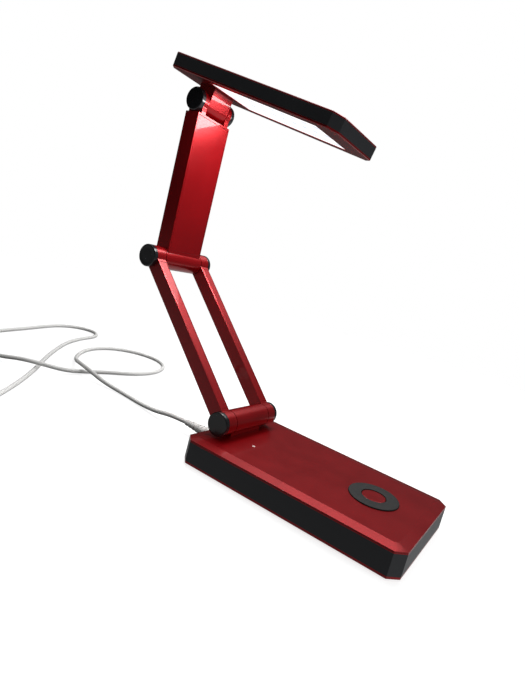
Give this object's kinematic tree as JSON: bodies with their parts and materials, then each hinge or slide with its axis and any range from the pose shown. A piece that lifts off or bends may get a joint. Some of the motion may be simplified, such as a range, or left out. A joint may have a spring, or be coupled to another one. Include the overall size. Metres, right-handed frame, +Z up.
{
  "type": "folding desk lamp",
  "caption": "Folding rechargeable desk lamp: slim base with push switch, two nesting hinged arms, flat light head and charging lead.",
  "frame": {"origin": "centre of the anti-slip pad's lower face, in the plane of the desk", "axes": "+Z up; +X along the base from its hinge end to its switch end; +Y across the base, along the hinge pins, away from the side where the near rail is"},
  "size_m": [0.5335, 0.2962, 0.3051],
  "materials": {
    "red_gloss": "gloss lacquer over metallic red",
    "black_satin": "fine grained satin",
    "black_cap": "semi gloss",
    "steel": "plain",
    "zinc_plate": "plain",
    "rubber_black": "matt",
    "white_plastic": "satin",
    "cord_white": "satin",
    "diffuser_white": "opal, lit",
    "board_green": "solder mask",
    "board_white": "white solder mask",
    "led_yellow": "phosphor",
    "part_black": "moulded",
    "cell_wrap": "shrink wrapped cell",
    "indicator_clear": "clear light pipe",
    "nylon_washer": "nylon"
  },
  "bodies": {
    "base": {"base_bottom_cover": "red_gloss", "base_side_band": "black_satin", "base_top_cover": "red_gloss", "anti_slip_pad": "rubber_black", "base_screws": "steel", "base_hinge_barrel": "red_gloss", "hinge_bracket_screws": "steel", "switch_bezel": "black_satin", "tact_switch": "part_black", "switch_board": "board_green", "main_board": "board_green", "board_components": "part_black", "charge_indicator": "indicator_clear", "charge_jack": "part_black", "battery_cradle": "part_black", "battery_cells": "cell_wrap", "ballast_plate": "zinc_plate", "charging_plug": "white_plastic", "plug_strain_relief": "white_plastic", "charging_cord": "cord_white", "cord_coil": "cord_white", "cord_tie": "part_black", "cord_tail": "cord_white", "usb_plug": "white_plastic"},
    "power_button": {"power_button": "red_gloss", "switch_plunger": "part_black"},
    "base_pin": {"base_hinge_pin": "steel", "base_hinge_caps": "black_cap"},
    "lower_arm": {"near_rail_channel": "red_gloss", "near_rail_lid": "red_gloss", "far_rail_channel": "red_gloss", "far_rail_lid": "red_gloss", "rail_wires": "part_black", "base_hinge_washers": "nylon_washer", "elbow_pin": "steel", "elbow_caps": "black_cap", "elbow_washers": "nylon_washer"},
    "upper_arm": {"upper_arm_channel": "red_gloss", "upper_arm_lid": "red_gloss", "upper_arm_wires": "part_black"},
    "head_pin": {"head_hinge_pin": "steel", "head_hinge_caps": "black_cap"},
    "head": {"head_hinge_block": "red_gloss", "hinge_block_screws": "steel", "head_bottom_frame": "red_gloss", "head_side_band": "black_satin", "head_top_cover": "red_gloss", "light_diffuser": "diffuser_white", "reflector_tray": "white_plastic", "led_board": "board_white", "led_chips": "led_yellow", "head_wires": "part_black"}
  },
  "joints": [
    {"name": "base_fold", "type": "hinge", "parent": "base", "child": "base_pin", "pos_m": [-0.076, 0, 0.0318], "axis": [0, -1, 0], "range_deg": [-107, 9.94]},
    {"name": "base_lean", "type": "hinge", "parent": "base_pin", "child": "lower_arm", "pos_m": [-0.076, 0, 0.0318], "axis": [0, -1, 0], "range_deg": [-30, 30]},
    {"name": "arm_fold", "type": "hinge", "parent": "lower_arm", "child": "upper_arm", "pos_m": [-0.1888, 0, 0.13884], "axis": [0, -1, 0], "range_deg": [-20, 225.7]},
    {"name": "head_fold", "type": "hinge", "parent": "upper_arm", "child": "head_pin", "pos_m": [-0.19068, 0, 0.27413], "axis": [0, -1, 0], "range_deg": [-71.9, 6.83]},
    {"name": "head_tilt", "type": "hinge", "parent": "head_pin", "child": "head", "pos_m": [-0.19068, 0, 0.27413], "axis": [0, -1, 0], "range_deg": [-6, 6]},
    {"name": "button_press", "type": "slide", "parent": "base", "child": "power_button", "axis": [0, 0, -1], "range_m": [0, 0.0008], "stiffness_N_per_m": 600, "springref_m": -0.0008}
  ],
  "couplings": [
    {"joint": "base_fold", "follows": "arm_fold", "ratio": -0.47187},
    {"joint": "head_fold", "follows": "arm_fold", "ratio": -0.31635}
  ]
}
